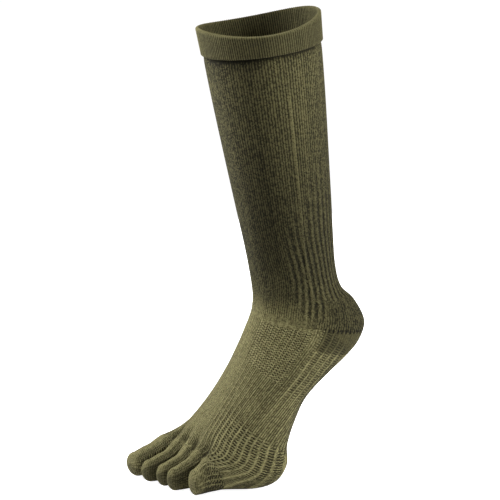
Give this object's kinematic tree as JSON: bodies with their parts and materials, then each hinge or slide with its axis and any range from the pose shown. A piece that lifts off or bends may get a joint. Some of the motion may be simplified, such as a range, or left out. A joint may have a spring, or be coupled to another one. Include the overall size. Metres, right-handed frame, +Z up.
{
  "type": "five-toed sock",
  "caption": "Knitted mid-calf sock with a separate pocket for each toe, ribbed leg, doubled cuff and turned heel, in its worn form for a left foot.",
  "frame": {"origin": "centre of the leg opening, at the top edge of the cuff, where the sock is held up by the wearer's calf", "axes": "+Z up along the worn leg, -Y toward the toes, +X toward the outer side of the left foot, where the little toe is"},
  "size_m": [0.1008, 0.1971, 0.4001],
  "materials": {
    "leg_knit": "matt ribbed knit in olive yarn",
    "cuff_knit": "matt doubled elastic rib in olive yarn",
    "heel_knit": "matt plain knit in olive yarn",
    "foot_knit": "matt ribbed and eyelet knit in olive yarn",
    "toe_knit": "matt plain knit in olive yarn"
  },
  "bodies": {
    "root": {"cuff": "cuff_knit", "leg": "leg_knit", "heel": "heel_knit", "foot": "foot_knit", "toe_big": "toe_knit", "toe_second": "toe_knit", "toe_third": "toe_knit", "toe_fourth": "toe_knit", "toe_little": "toe_knit"}
  },
  "joints": []
}
